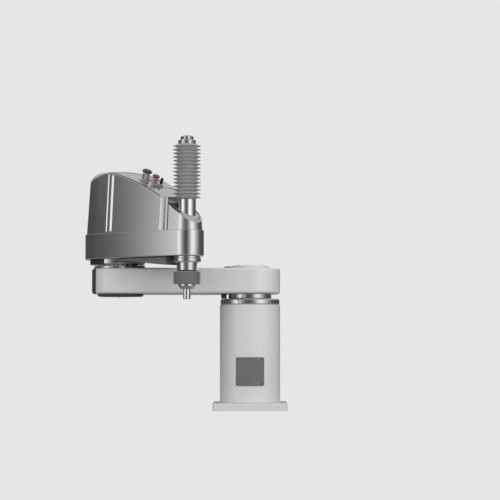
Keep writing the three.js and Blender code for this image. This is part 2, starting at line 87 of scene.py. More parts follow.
ROUND = 128
SIDE_RADIUS = 2100
COVER_INSET = 5
COVER_WALL = 3.5
COVER_DRAFT = math.tan(math.radians(3.7))
GAP = 0.3
ARM1_FRONT_RADIUS = 87
ARM2_REAR_RADIUS = 110
ARM2_NOSE_RADIUS = 55.5
STRAIGHT_SIDE = 60000
PANEL_X = 194
PANEL_SLOPE = math.radians(22.6)
PANEL_SIZE = (70, 100)
PANEL_CORNER = 4
BUTTON_AT = (4, 19)
BELLOWS_RELIEF = 48
BOSS_HOLE = 29.6
# The ribs up the cover's sides, as (place along the arm, width, height).
RIBS = ((60, 5.0, 1.9), (80, 9.0, 3.2))
NOSE_JOINT = 319
BULKHEAD = (298, 301.7)


def level(node, high=False):
    """A CAD node's lowest or highest level, in millimetres."""
    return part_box(node)[1 if high else 0].z / MM


def half_width(node):
    """Half of a CAD node's size across, along Y for a node centred on its axis, in millimetres."""
    low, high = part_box(node)
    return (high.y - low.y) / 2 / MM


ARM1_LENGTH = J2.xy.length / MM
ARM2_LENGTH = (SPINDLE.xy - J2.xy).length / MM
SKIRT_BOTTOM = level("arm2_housing")
SEAM = level("arm2_main_cover")

SCALE = Matrix.Scale(MM, 4)
BASE = SCALE
ARM1 = Matrix.Rotation(math.atan2(J2.y, J2.x), 4, "Z") @ SCALE
ARM2_HEADING = math.atan2(SPINDLE.y - J2.y, SPINDLE.x - J2.x)
ARM2 = Matrix.Translation((J2.x, J2.y, 0)) @ Matrix.Rotation(ARM2_HEADING, 4, "Z") @ SCALE
AT_J2 = ARM1 @ Matrix.Translation((ARM1_LENGTH, 0, 0))
AT_SPINDLE = ARM2 @ Matrix.Translation((ARM2_LENGTH, 0, 0))


# Materials.

class Nodes:
    """A short way to add shader nodes to one material or world."""

    def __init__(self, owner):
        owner.use_nodes = True
        self.tree = owner.node_tree
        self.tree.nodes.clear()

    def add(self, kind, **values):
        node = self.tree.nodes.new(kind)
        for key, value in values.items():
            if hasattr(node, key):
                setattr(node, key, value)
            else:
                node.inputs[key.replace("_", " ")].default_value = value
        return node

    def link(self, source, output, target, socket):
        self.tree.links.new(source.outputs[output], target.inputs[socket])


def surface(name, color, metallic, roughness, *, spread=0.05, tint=0.04, stretch=(1, 1, 1),
            grain=900, bump=0.04, mottle=14, coat=0.0):
    """A procedural finish: a grain for bump and roughness, and a broad mottle for colour and
    gloss. `stretch` squeezes the grain along an axis, as brushing does."""
    material = bpy.data.materials.new(name)
    n = Nodes(material)
    output = n.add("ShaderNodeOutputMaterial")
    shader = n.add("ShaderNodeBsdfPrincipled", Metallic=metallic, Coat_Weight=coat)
    shader.inputs["Coat Roughness"].default_value = 0.12
    n.link(shader, "BSDF", output, "Surface")
    place = n.add("ShaderNodeTexCoord")
    turn = n.add("ShaderNodeMapping")
    turn.inputs["Scale"].default_value = stretch
    n.link(place, "Object", turn, "Vector")
    fine = n.add("ShaderNodeTexNoise", Scale=grain, Detail=3.0, Roughness=0.6)
    n.link(turn, "Vector", fine, "Vector")
    broad = n.add("ShaderNodeTexNoise", Scale=mottle, Detail=4.0, Roughness=0.55)
    n.link(place, "Object", broad, "Vector")

    shade = n.add("ShaderNodeMapRange")
    shade.inputs["From Min"].default_value = 0.3
    shade.inputs["From Max"].default_value = 0.7
    shade.inputs["To Min"].default_value = 1 - tint
    shade.inputs["To Max"].default_value = 1 + tint
    n.link(broad, "Fac", shade, "Value")
    tinted = n.add("ShaderNodeVectorMath", operation="SCALE")
    tinted.inputs[0].default_value = color
    n.link(shade, "Result", tinted, "Scale")
    n.link(tinted, "Vector", shader, "Base Color")

    both = n.add("ShaderNodeMath", operation="ADD")
    n.link(fine, "Fac", both, 0)
    n.link(broad, "Fac", both, 1)
    gloss = n.add("ShaderNodeMapRange")
    gloss.inputs["From Min"].default_value = 0.7
    gloss.inputs["From Max"].default_value = 1.3
    gloss.inputs["To Min"].default_value = max(0.02, roughness - spread)
    gloss.inputs["To Max"].default_value = roughness + spread
    n.link(both, "Value", gloss, "Value")
    n.link(gloss, "Result", shader, "Roughness")

    relief = n.add("ShaderNodeBump", Strength=bump, Distance=0.0006)
    n.link(fine, 0, relief, "Height")
    n.link(relief, "Normal", shader, "Normal")
    return material


def make_materials():
    return {
        "white_paint": surface(
            "white_paint", (0.66, 0.655, 0.665), 0.0, 0.36, grain=700, bump=0.10, tint=0.012,
            coat=0.7),
        "satin_nickel": surface(
            "satin_nickel", (0.60, 0.60, 0.597), 1.0, 0.15, spread=0.02, grain=260, bump=0.02,
            stretch=(1, 1, 0.06), tint=0.02, mottle=9),
        "chrome": surface(
            "chrome", (0.70, 0.70, 0.71), 1.0, 0.10, spread=0.03, grain=500, bump=0.05,
            stretch=(0.15, 0.15, 1), tint=0.03),
        "steel": surface(
            "steel", (0.58, 0.58, 0.59), 1.0, 0.13, spread=0.03, grain=600, bump=0.03,
            stretch=(0.15, 0.15, 1), tint=0.04),
        "dark_metal": surface(
            "dark_metal", (0.085, 0.085, 0.09), 0.55, 0.36, grain=900, bump=0.10, tint=0.06),
        "dark_paint": surface(
            "dark_paint", (0.155, 0.149, 0.158), 0.15, 0.42, grain=1100, bump=0.14, tint=0.05),
        "motor_black": surface(
            "motor_black", (0.025, 0.025, 0.027), 0.1, 0.5, grain=1000, bump=0.2, tint=0.08),
        "black_plastic": surface(
            "black_plastic", (0.018, 0.018, 0.02), 0.0, 0.42, grain=1400, bump=0.2, tint=0.1),
        "bellows_grey": surface(
            "bellows_grey", (0.46, 0.46, 0.445), 0.0, 0.5, grain=1200, bump=0.12, tint=0.05,
            mottle=30),
        "belt_rubber": surface(
            "belt_rubber", (0.012, 0.012, 0.012), 0.0, 0.7, grain=1500, bump=0.3, tint=0.1),
        "blue_plastic": surface(
            "blue_plastic", (0.028, 0.038, 0.066), 0.0, 0.35, grain=1400, bump=0.12, tint=0.08),
        "orange_plastic": surface(
            "orange_plastic", (0.34, 0.07, 0.025), 0.0, 0.35, grain=1400, bump=0.12, tint=0.08),
    }


MATERIALS = make_materials()
NODE_SLOTS = {row["node"]: row["material_slot"] for row in frame["record"]["subparts"]}


# Making pieces.

def finish_mesh(obj, crease=38):
    """Smooth shading that keeps hard edges and flat faces crisp."""
    obj.data.shade_smooth()
    obj.data.set_sharp_from_angle(angle=math.radians(crease))
    tidy = obj.modifiers.new("even_normals", "WEIGHTED_NORMAL")
    tidy.keep_sharp = True


def add_piece(name, shape, place, body, slot, replaces=(), crease=38, ride=True):
    """A new piece from (vertices in millimetres, faces), riding on a CAD body."""
    vertices, faces = shape
    mesh = bpy.data.meshes.new(name)
    mesh.from_pydata([place @ Vector(v) for v in vertices], [], faces)
    cleaned = bmesh.new()
    cleaned.from_mesh(mesh)
    bmesh.ops.remove_doubles(cleaned, verts=cleaned.verts, dist=1e-7)
    bmesh.ops.recalc_face_normals(cleaned, faces=cleaned.faces)
    cleaned.to_mesh(mesh)
    cleaned.free()
    mesh.materials.append(MATERIALS[slot])
    obj = bpy.data.objects.new(name, mesh)
    bpy.context.scene.collection.objects.link(obj)
    finish_mesh(obj, crease)
    if ride:
        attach(obj, body)
    if replaces:
        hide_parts(*replaces)
    return obj


def replace_node(node, shape, place, crease=38):
    """A piece that stands for one CAD node, on the same body and in the same slot."""
    return add_piece(
        node + "_detailed", shape, place, body_name(node), NODE_SLOTS[node], (node,), crease)


def body_name(node):
    return frame["nodes"][node]["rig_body"]


def soften_node(node, width):
    """Stands for a CAD node with its own shape, every hard edge rounded by `width` millimetres."""
    source = bmesh.new()
    source.from_mesh(frame["nodes"][node].data)
    bmesh.ops.remove_doubles(source, verts=source.verts, dist=1e-6)
    bmesh.ops.dissolve_limit(
        source, angle_limit=math.radians(1), verts=source.verts, edges=source.edges)
    mesh = bpy.data.meshes.new(node + "_detailed")
    source.to_mesh(mesh)
    source.free()
    mesh.materials.append(MATERIALS[NODE_SLOTS[node]])
    obj = bpy.data.objects.new(node + "_detailed", mesh)
    bpy.context.scene.collection.objects.link(obj)
    bevel = obj.modifiers.new("rounded_edges", "BEVEL")
    bevel.width = width * MM
    bevel.segments = 3
    bevel.limit_method = "ANGLE"
    bevel.angle_limit = math.radians(30)
    finish_mesh(obj, 35)
    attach(obj, body_name(node))
    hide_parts(node)
    return obj


def rounded(profile, steps=5):
    """A closed or open polyline of (across, up, radius) with each corner turned into an arc."""
    points = []
    count = len(profile)
    for i, corner in enumerate(profile):
        here = Vector(corner[:2])
        radius = corner[2] if len(corner) > 2 else 0
        before = Vector(profile[i - 1][:2])
        after = Vector(profile[(i + 1) % count][:2])
        if not radius:
            points.append((here.x, here.y))
            continue
        u = (before - here).normalized()
        v = (after - here).normalized()
        half = u.angle(v) / 2
        centre = here + (u + v).normalized() * radius / math.sin(half)
        start = here + u * radius / math.tan(half) - centre
        end = here + v * radius / math.tan(half) - centre
        sweep = start.angle_signed(end)
        for s in range(steps + 1):
            turned = Matrix.Rotation(-sweep * s / steps, 2) @ start
            points.append((centre.x + turned.x, centre.y + turned.y))
    return points


def joined_rings(rings, loop=False):
    """Faces between rings of equal length, with capped ends or in a closed loop."""
    count = len(rings[0])
    vertices = [point for ring in rings for point in ring]
    faces = []
    pairs = len(rings) if loop else len(rings) - 1
    for r in range(pairs):
        low = r * count
        high = ((r + 1) % len(rings)) * count
        for i in range(count):
            j = (i + 1) % count
            faces.append((low + i, low + j, high + j, high + i))
    if not loop:
        faces.append(tuple(reversed(range(count))))
        faces.append(tuple(range(len(vertices) - count, len(vertices))))
    return vertices, faces


def swept(outline, profile, loop=False):
    """Rings that follow `outline` (points with outward normals) at each (offset, level)."""
    rings = [
        [(x + nx * offset, y + ny * offset, up) for x, y, nx, ny in outline]
        for offset, up in profile]
    return joined_rings(rings, loop)


def circle(count=ROUND):
    """An outline of zero size with its normals all round, so a profile's offset is a radius."""
    turns = [2 * math.pi * i / count for i in range(count)]
    return [(0, 0, math.cos(t), math.sin(t)) for t in turns]


def turned(profile, loop=True, count=ROUND, steps=5):
    """A round piece about Z, from a profile of (radius, level, corner radius)."""
    return swept(circle(count), rounded(profile, steps), loop)


def arc_points(cx, cy, radius, start, end, steps):
    angles = [start + (end - start) * i / steps for i in range(steps)]
    return [(cx + radius * math.cos(a), cy + radius * math.sin(a), math.cos(a), math.sin(a))
            for a in angles]


def half_outline(rear, front, length, side, steps):
    """Half of an arm's plan view, from the front tip round +Y to the rear tip: two end circles
    joined by an arc of radius `side` that is tangent to both."""
    to_rear = side - rear
    to_front = side - front
    cx = (to_rear ** 2 - to_front ** 2 + length ** 2) / (2 * length)
    cy = -math.sqrt(to_rear ** 2 - cx ** 2)
    front_turn = math.atan2(-cy, length - cx)
    rear_turn = math.atan2(-cy, -cx)
    points = arc_points(length, 0, front, 0, front_turn, steps[0])
    points += arc_points(cx, cy, side, front_turn, rear_turn, steps[1])
    points += arc_points(0, 0, rear, rear_turn, math.pi, steps[2])
    return points + [(-rear, 0, -1, 0)]


def mirrored(half):
    """The whole outline from its half."""
    return half + [(x, -y, nx, -ny) for x, y, nx, ny in reversed(half[1:-1])]


def rounded_square(width, depth, radius, steps=8):
    x = width / 2 - radius
    y = depth / 2 - radius
    points = []
    for cx, cy, start in ((x, y, 0), (-x, y, 90), (-x, -y, 180), (x, -y, 270)):
        for s in range(steps + 1):
            a = math.radians(start + 90 * s / steps)
            points.append((cx + radius * math.cos(a), cy + radius * math.sin(a),
                           math.cos(a), math.sin(a)))
    return points


def cut_by(obj, *tools):
    """Cuts closed shapes out of a piece for good. Tools are (vertices, faces) in metres."""
    for vertices, faces in tools:
        mesh = bpy.data.meshes.new("cutter")
        mesh.from_pydata(vertices, [], faces)
        shape = bmesh.new()
        shape.from_mesh(mesh)
        bmesh.ops.recalc_face_normals(shape, faces=shape.faces)
        shape.to_mesh(mesh)
        shape.free()
        cutter = bpy.data.objects.new("cutter", mesh)
        bpy.context.scene.collection.objects.link(cutter)
        modifier = obj.modifiers.new("cut", "BOOLEAN")
        modifier.object = cutter
        modifier.operation = "DIFFERENCE"
        modifier.solver = "EXACT"
        while obj.modifiers[0] != modifier:
            obj.modifiers.move(obj.modifiers.find(modifier.name), 0)
        shown = [(m, m.show_viewport) for m in obj.modifiers if m != modifier]
        for other, _ in shown:
            other.show_viewport = False
        bpy.context.view_layer.update()
        graph = bpy.context.evaluated_depsgraph_get()
        result = bpy.data.meshes.new_from_object(obj.evaluated_get(graph))
        obj.modifiers.remove(modifier)
        for other, state in shown:
            other.show_viewport = state
        old = obj.data
        obj.data = result
        bpy.data.meshes.remove(old)
        bpy.data.objects.remove(cutter)
        bpy.data.meshes.remove(mesh)
    obj.data.set_sharp_from_angle(angle=math.radians(35))
    return obj


def placed(shape, place):
    vertices, faces = shape
    return [tuple(place @ Vector(v)) for v in vertices], faces


def box_shape(x0, x1, y0, y1, z0, z1):
    vertices = [(x, y, z) for z in (z0, z1) for x, y in ((x0, y0), (x1, y0), (x1, y1), (x0, y1))]
    faces = [(3, 2, 1, 0), (4, 5, 6, 7), (0, 1, 5, 4), (1, 2, 6, 5), (2, 3, 7, 6), (3, 0, 4, 7)]
    return vertices, faces


def cap_screw(name, place, body, head, height, slot="steel"):
    """A socket-head screw, its head standing on the local XY plane, with a hexagon socket."""
    count = 36
    ring = circle(count)
    across = head * 0.52
    hexagon = []
    for i in range(count):
        t = 2 * math.pi * i / count
        local = (t % (math.pi / 3)) - math.pi / 6
        r = across / math.cos(local)
        hexagon.append((r * math.cos(t), r * math.sin(t)))
    outside = rounded([(head, 0, 0), (head, height, height * 0.2), (across * 1.15, height, 0)], 3)
    outside = outside[:-1] + [(across * 1.22, height)]
    rings = [[(nx * r, ny * r, up) for _, _, nx, ny in ring] for r, up in outside]
    rings.append([(x, y, height) for x, y in hexagon])
    rings.append([(x, y, height * 0.35) for x, y in hexagon])
    return add_piece(name, joined_rings(rings), place, body, slot)


def lay_flat(point, normal):
    """A matrix in metres that puts local +Z along `normal` at `point`, with local units of mm."""
    turn = Vector((0, 0, 1)).rotation_difference(Vector(normal)).to_matrix().to_4x4()
    return Matrix.Translation(point) @ turn @ SCALE


# Base.

def column_plate():
    """The dark cover on the column's front, bent to the column, with rounded corners."""
    low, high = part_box("column_front_plate")
    radius = half_width("base_column")
    inner = radius + GAP
    outer = radius + 2.3
    half = (high.x - low.x) / 2 / MM
    bottom, top = low.z / MM, high.z / MM
    corner, rim, steps = 5, 0.6, 24
    levels = [bottom, bottom + rim]
    levels += [bottom + corner * (1 - math.cos(math.radians(a))) + rim for a in (30, 60, 90)]
    levels += [bottom + top - z for z in reversed(levels)]
    rings = []
    for z in levels:
        depth = min(z - bottom, top - z)
        cut_in = corner - math.sqrt(max(0, corner ** 2 - max(0, corner - depth) ** 2))
        face = outer - rim if depth < rim / 2 else outer
        reach = math.asin((half - cut_in) / outer)
        back = [-reach + 2 * reach * i / steps for i in range(steps + 1)]
        front = list(reversed(back))
        edge = rim / outer
        ring = [(inner * math.sin(a), -inner * math.cos(a), z) for a in back]
        for i, a in enumerate(front):
            r = face - rim if i in (0, steps) else face
            a = a - edge / 2 if i == 1 and steps > 2 else a
            ring.append((r * math.sin(a), -r * math.cos(a), z))
        rings.append(ring)
    replace_node("column_front_plate", joined_rings(rings), BASE)
    for i, (side, up) in enumerate(((-1, -1), (1, -1), (1, 1), (-1, 1))):
        a = side * (math.asin(half / outer) - 6.5 / outer)
        z = (top + bottom) / 2 + up * ((top - bottom) / 2 - 6.5)
        point = Vector((outer * math.sin(a), -outer * math.cos(a), z)) * MM
        cap_screw(f"plate_screw_{i + 1}", lay_flat(point, (math.sin(a), -math.cos(a), 0)),
                  "base", 2.6, 1.2, "dark_metal")


def cylinder_shape(radius, bottom, top, place=Matrix(), count=48):
    rings = [[(radius * nx, radius * ny, z) for _, _, nx, ny in circle(count)]
             for z in (bottom, top)]
    return placed(joined_rings(rings), place)


def base_plate():
    low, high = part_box("base_plate")
    width = (high.x - low.x) / MM
    top = high.z / MM
    outline = rounded_square(width, width, 8)
    profile = rounded([(-6, 0), (0, 0, 1), (0, top, 3), (-6, top)])
    plate = replace_node("base_plate", swept(outline, profile), BASE)
    offset = width / 2 - 20
    holes = []
    for x, y in ((1, 1), (-1, 1), (-1, -1), (1, -1)):
        at = BASE @ Matrix.Translation((x * offset, y * offset, 0))
        holes.append(cylinder_shape(5.5, -1, top + 1, at))
        holes.append(cylinder_shape(9.5, top - 6, top + 1, at))
    cut_by(plate, *holes)


def column():
    bottom, top = level("base_column"), level("base_column", high=True)
    outer = half_width("base_column")
    wall = turned([(outer - 8, bottom), (outer, bottom, 0.8), (outer, top, 1.6),
                   (outer - 8, top, 0.5)])
    replace_node("base_column", wall, BASE)


def pins(name, points, radius, depth, body, slot="steel"):
    """Contact pins as one piece; each point is a matrix in metres with local units of mm."""
    vertices, faces = [], []
    for place in points:
        v, f = cylinder_shape(radius, 0, depth, place, 12)
        faces += [tuple(len(vertices) + i for i in face) for face in f]
        vertices += v
    return add_piece(name, (vertices, faces), Matrix(), body, slot)


def rear_box():
    soften_node("rear_connector_box", 2.5)
    low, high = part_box("rear_connector_box")
    for i, (x, z) in enumerate((x, z) for x in (-1, 1) for z in (0.05, 0.5, 0.95)):
        point = Vector((x * (high.x - 0.007), high.y, low.z + (high.z - low.z) * z))
        cap_screw(f"box_screw_{i + 1}", lay_flat(point, (0, 1, 0)), "base", 3, 2)
    for node, columns, rows, pitch in (("power_connector", 4, 2, 7),
                                       ("signal_connector", 6, 3, 4.4),
                                       ("base_user_connector", 9, 2, 3.4)):
        soften_node(node, 0.8)
        low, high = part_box(node)
        middle = (low + high) / 2
        recess = high.y - 0.003
        spots = []
        for c in range(columns):
            for r in range(rows):
                point = Vector((middle.x + (c - (columns - 1) / 2) * pitch * MM, recess,
                                middle.z + (r - (rows - 1) / 2) * pitch * MM))
                spots.append(lay_flat(point, (0, 1, 0)))
        pins(node + "_pins", spots, 0.9, 2.2, "base")
    for i in range(3):
        node = f"base_air_fitting_{i + 1}"
        low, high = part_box(node)
        at = lay_flat(Vector(((low.x + high.x) / 2, low.y, (low.z + high.z) / 2)), (0, 1, 0))
        air_fitting(node, at, (high.y - low.y) / MM - 4, 8)
        ring = turned([(3.1, 0), (6.6, 0, 0.5), (6.6, 3.6, 0.9), (3.1, 3.6, 0.6)], count=48)
        seat = at @ Matrix.Translation((0, 0, (high.y - low.y) / MM - 3.8))
        add_piece(f"base_release_ring_{i + 1}", ring, seat, "base", "blue_plastic")


def air_fitting(node, place, height, radius):
    """A push-in fitting: a hexagon foot and a turned body with a groove, open at its mouth."""
    count = 48
    hexagon = []
    for i in range(count):
        t = 2 * math.pi * i / count
        local = (t % (math.pi / 3)) - math.pi / 6
        hexagon.append((math.cos(t) / math.cos(local), math.sin(t) / math.cos(local)))
    flats = radius * 1.02
    rings = [[(x * r, y * r, z) for x, y in hexagon]
             for r, z in ((flats * 0.95, 0), (flats, 0.6), (flats, 6.2), (flats * 0.93, 7))]
    profile = rounded([
        (radius * 0.88, 7), (radius * 0.88, 9, 0.4), (radius, 9, 0.4), (radius, height - 4, 0.5),
        (radius * 0.92, height - 4, 0.4), (radius * 0.92, height, 1.2),
        (radius * 0.42, height, 0.6), (radius * 0.42, height - 5)], 3)
    rings += [[(nx * r, ny * r, z) for _, _, nx, ny in circle(count)] for r, z in profile]
    replace_node(node, joined_rings(rings), place)


def build_base():
    base_plate()
    column()
    column_plate()
    rear_box()
    top = level("j1_reducer_ring", high=True)
    seat = level("base_column", high=True) + 0.3
    ring = turned([
        (46, level("j1_reducer_ring")), (93.4, level("j1_reducer_ring"), 1), (93.4, seat),
        (98, seat, 1), (100, seat + 2.5, 1), (100, top - 4, 2), (96.5, top, 1.5), (46, top, 1)])
    replace_node("j1_reducer_ring", ring, BASE)
    soften_node("j1_fixed_stop", 1.5)


# Arm 1.

def arm1_outline():
    return mirrored(half_outline(
        half_width("base_column"), ARM1_FRONT_RADIUS, ARM1_LENGTH, STRAIGHT_SIDE, (48, 2, 48)))


def build_arm1():
    low = level("arm1_casting")
    high = level("arm1_casting", high=True)
    split = ARM1_LENGTH + 70
    profile = rounded([(-30, low), (0, low, 9), (0, high, 7), (-30, high)], 6)
    body = swept(arm1_outline(), profile)
    casting = replace_node("arm1_casting", body, ARM1)
    cut_by(casting, placed(box_shape(split, split + 60, -120, 120, low - 9, high + 9), ARM1))
    cover = replace_node("arm1_end_cover", body, ARM1)
    cut_by(cover, placed(box_shape(-150, split + 0.6, -120, 120, low - 9, high + 9), ARM1))
    for obj in (casting, cover):
        bevel = obj.modifiers.new("cut_edge", "BEVEL")
        bevel.width = 1.3 * MM
        bevel.segments = 3
        bevel.limit_method = "ANGLE"
        bevel.angle_limit = math.radians(50)
        obj.modifiers.move(1, 0)
    middle = (low + high) / 2
    for i, (x, y) in enumerate(((split + 10, 1), (split + 10, -1))):
        across = y * (math.sqrt(ARM1_FRONT_RADIUS ** 2 - 80 ** 2) + 0.2)
        normal = Vector((80, across, 0)) / ARM1_FRONT_RADIUS
        point = ARM1 @ Vector((ARM1_LENGTH + 80, across, middle))
        turned_normal = ARM1.to_3x3() @ normal
        cap_screw(f"end_cover_screw_{i + 1}", lay_flat(point, turned_normal), "arm1", 3.4, 1.4,
                  "dark_metal")

    top_low, top_high = level("arm1_top_cover"), level("arm1_top_cover", high=True)
    lid = swept(circle(), rounded([(20, top_low), (64, top_low, 0.8), (64, top_high, 4.5),
                                   (20, top_high)], 8))
    replace_node("arm1_top_cover", lid, ARM1)
    for i in range(4):
        turn = Matrix.Rotation(math.radians(45 + 90 * i), 4, "Z")
        at = ARM1 @ turn @ Matrix.Translation((54, 0, top_high))
        cap_screw(f"top_cover_screw_{i + 1}", at, "arm1", 3.2, 1.3)
    soften_node("arm1_cable_clip", 1.5)

    bottom_low = level("arm1_bottom_cover")
    bottom_high = level("arm1_bottom_cover", high=True)
    slot_outline = mirrored(half_outline(70, 70, 16, STRAIGHT_SIDE, (40, 2, 40)))
    pan = swept(slot_outline, rounded([(-20, bottom_low), (0, bottom_low, 6),
                                       (0, bottom_high, 0.6), (-20, bottom_high)], 6))
    replace_node("arm1_bottom_cover", pan, ARM1 @ Matrix.Translation((ARM1_LENGTH - 18, 0, 0)))
    for i in range(6):
        turn = Matrix.Rotation(math.radians(60 * i + 30), 4, "Z")
        at = AT_J2 @ turn @ Matrix.Translation((52, 0, bottom_low))
        at = at @ Matrix.Rotation(math.pi, 4, "X")
        cap_screw(f"bottom_cover_screw_{i + 1}", at, "arm1", 3.2, 1.4)

    low, high = level("j1_output_ring"), level("j1_output_ring", high=True)
    seat = level("j1_reducer_ring", high=True) + GAP
    ring = turned([(16, low), (44, low, 1), (44, seat), (70, seat, 0.6), (72, seat + 2, 0.6),
                   (72, high, 0.6), (16, high, 0.5)])
    replace_node("j1_output_ring", ring, BASE)
    soften_node("j1_moving_stop", 1.5)
    screw_at = ARM1 @ Matrix.Translation((71.6, -25.5, level("j1_moving_stop", high=True) - 6))
    cap_screw("stop_screw", screw_at @ Matrix.Rotation(math.pi, 4, "X"), "arm1", 3, 4)

    low, high = level("j2_lower_ring"), level("j2_lower_ring", high=True)
    seat = level("arm1_casting", high=True) + GAP
    neck = level("j2_upper_ring") - GAP
    ring = turned([(18, low), (44, low, 1), (44, seat), (80, seat, 0.6), (80, seat + 6, 1),
                   (64, seat + 6, 1), (64, neck, 0.5), (44, neck), (44, high, 1), (18, high, 1)])
    replace_node("j2_lower_ring", ring, AT_J2)
    for i in range(16):
        turn = Matrix.Rotation(math.radians(22.5 * i), 4, "Z")
        at = AT_J2 @ turn @ Matrix.Translation((72.5, 0, seat + 6))
        cap_screw(f"ring_screw_{i + 1}", at, "arm1", 4, 4)
    soften_node("j2_fixed_stop", 1.2)


# Arm 2.

def arm2_half():
    return half_outline(
        ARM2_REAR_RADIUS, ARM2_NOSE_RADIUS, ARM2_LENGTH, SIDE_RADIUS, (44, 48, 56))


def smooth_step(low, high, value):
    t = min(1, max(0, (value - low) / (high - low)))
    return t * t * (3 - 2 * t)


SLOPING_CREST = [(-160, 799), (-120, 799), (-26, 799), (53, 797), (101, 788), (155, 770),
                 (190, 756), (225, 741), (262, 721)]
MAIN_CREST = SLOPING_CREST + [(288, 706.5), (303, 703), (340, 701), (430, 700), (480, 700)]
NOSE_CREST = SLOPING_CREST + [(314, 686), (345, 661), (378, 640), (430, 592), (480, 540)]


def crest_height(x, crest=MAIN_CREST):
    """The cover's top along the arm: level at the rear, then falling towards the nose."""
    i = next(k for k in range(1, len(crest) - 2) if crest[k + 1][0] >= x)
    before, a, b, after = crest[i - 1:i + 3]
    t = (x - a[0]) / (b[0] - a[0])
    span = b[0] - a[0]
    slope_a = (b[1] - before[1]) / (b[0] - before[0])
    slope_b = (after[1] - a[1]) / (after[0] - a[0])
    h00 = 2 * t ** 3 - 3 * t ** 2 + 1
    h10 = t ** 3 - 2 * t ** 2 + t
    h01 = -2 * t ** 3 + 3 * t ** 2
    h11 = t ** 3 - t ** 2
    return h00 * a[1] + h10 * span * slope_a + h01 * b[1] + h11 * span * slope_b


def edge_radius(x):
    return 36 - 31 * smooth_step(-65, 52, x)


def between(samples, x_low, x_high):
    """The outline samples from x_high down to x_low, with exact samples at both ends."""
    kept = []
    for here, after in zip(samples, samples[1:]):
        for bound in (x_high, x_low):
            if here[0] > bound >= after[0]:
                t = (here[0] - bound) / (here[0] - after[0])
                kept.append(tuple(a + (b - a) * t for a, b in zip(here, after)))
        if x_low < after[0] < x_high:
            kept.append(after)
    if x_low < samples[0][0] < x_high:
        kept.insert(0, samples[0])
    return kept


# Where a hoop's points lie: its rim's groove as (distance in from the edge, depth), the index of
# the groove's first point, and some of the points round its top edge.
RIM_GROOVE = ((2.2, 0), (2.9, 1.6), (5.0, 1.6), (5.7, 0))
RIM_START = 15
EDGE_POINTS = (9, 11, 13)


def cover_hoop(sample, wall, sink, crest):
    """One hoop over the cover: up one side, round the edge, across the top and down again."""
    x, y, nx, ny = sample
    inset = COVER_INSET + wall + sink
    radius = edge_radius(x)
    if wall:
        radius = max(1.5, radius - wall)

    def at(offset, z):
        lean = inset + offset + (z - SEAM) * COVER_DRAFT
        return Vector((x - nx * lean, y - ny * lean, z))

    top = crest_height(x - nx * inset, crest) - wall - sink
    points = [at(0, SEAM + (top - radius - SEAM) * i / 6) for i in range(7)]
    for s in range(1, 9):
        a = math.pi / 2 * s / 8
        points.append(at(radius * (1 - math.cos(a)), top - radius + radius * math.sin(a)))
    rim = smooth_step(20, 95, x) * (0 if wall else 1)
    edge = points[-1]
    room = max(0.0, min(1.0, (abs(edge.y) - 1) / 14)) if x < ARM2_LENGTH else 1.0
    for away, depth in RIM_GROOVE:
        px = edge.x - nx * away * room
        py = edge.y - ny * away * room
        level_here = crest_height(px, crest) - wall - sink
        points.append(Vector((px, py, level_here - depth * rim * room)))
    start = points[-1]
    if start.y < 0:
        start.y = 0.0
    crown = 7 * (1 - smooth_step(100, 250, x))
    for s in range(1, 9):
        share = s / 8
        lift = crown * (1 - (1 - share) ** 2) * min(1, abs(start.y) / 60)
        points.append(Vector((start.x, start.y * (1 - share), start.z + lift)))
    far = [Vector((p.x, -p.y, p.z)) for p in reversed(points[:-1])]
    return [tuple(p) for p in points + far]


def painted_rim_shade(name, xs, side, crest, slot, reach=()):
    """A dark band over a cover's top edge that paints the shade and dark reflection of its rounded
    rim, reaching inwards over the rim's points in `reach`.
    """
    rings = []
    for x in xs:
        points = cover_hoop(between(arm2_half(), x, x + 300)[-1], 0, 0, crest)
        over = [Vector(points[i]) for i in (*EDGE_POINTS, *reach)]
        inside = Vector((over[0].x, over[0].y - 5, over[-1].z - 5))
        ring = [p + (p - inside).normalized() * 0.5 for p in over]
        ring += [p + (inside - p).normalized() * 0.8 for p in reversed(over)]
        rings.append([(p.x, side * p.y, p.z) for p in ring])
    return add_piece(name, joined_rings(rings), ARM2, "arm2", slot)


def cover_shell(samples, sinks, cut_index, crest):
    """A thin shell from hoops; `sinks` lowers hoops near the cut so that its edge is rounded."""
    outer = [cover_hoop(sample, 0, sink, crest) for sample, sink in zip(samples, sinks)]
    inner = [cover_hoop(sample, COVER_WALL, 0, crest) for sample in samples]
    count = len(outer[0])
    rows = len(samples)
    vertices = [p for hoop in outer for p in hoop] + [p for hoop in inner for p in hoop]
    shift = rows * count
    faces = []
    for r in range(rows - 1):
        for i in range(count - 1):
            a, b = r * count + i, (r + 1) * count + i
            faces.append((a, a + 1, b + 1, b))
            faces.append((shift + b, shift + b + 1, shift + a + 1, shift + a))
        for i in (0, count - 1):
            a, b = r * count + i, (r + 1) * count + i
            faces.append((a, b, shift + b, shift + a))
    for i in range(count - 1):
        a = cut_index * count + i
        faces.append((a, shift + a, shift + a + 1, a + 1))
    return vertices, faces


def panel_frame():
    """Where the user panel lies: its plate's middle, sloping with the cover."""
    at = Matrix.Translation((PANEL_X, 0, crest_height(PANEL_X)))
    return ARM2 @ at @ Matrix.Rotation(PANEL_SLOPE, 4, "Y")


def drop_loose(obj):
    """Removes collapsed faces left where hoops shrink to the middle line."""
    cleaned = bmesh.new()
    cleaned.from_mesh(obj.data)
    bmesh.ops.remove_doubles(cleaned, verts=cleaned.verts, dist=2e-6)
    bmesh.ops.dissolve_degenerate(cleaned, edges=cleaned.edges, dist=1e-6)
    bmesh.ops.recalc_face_normals(cleaned, faces=cleaned.faces)
    cleaned.to_mesh(obj.data)
    cleaned.free()
    obj.data.set_sharp_from_angle(angle=math.radians(38))


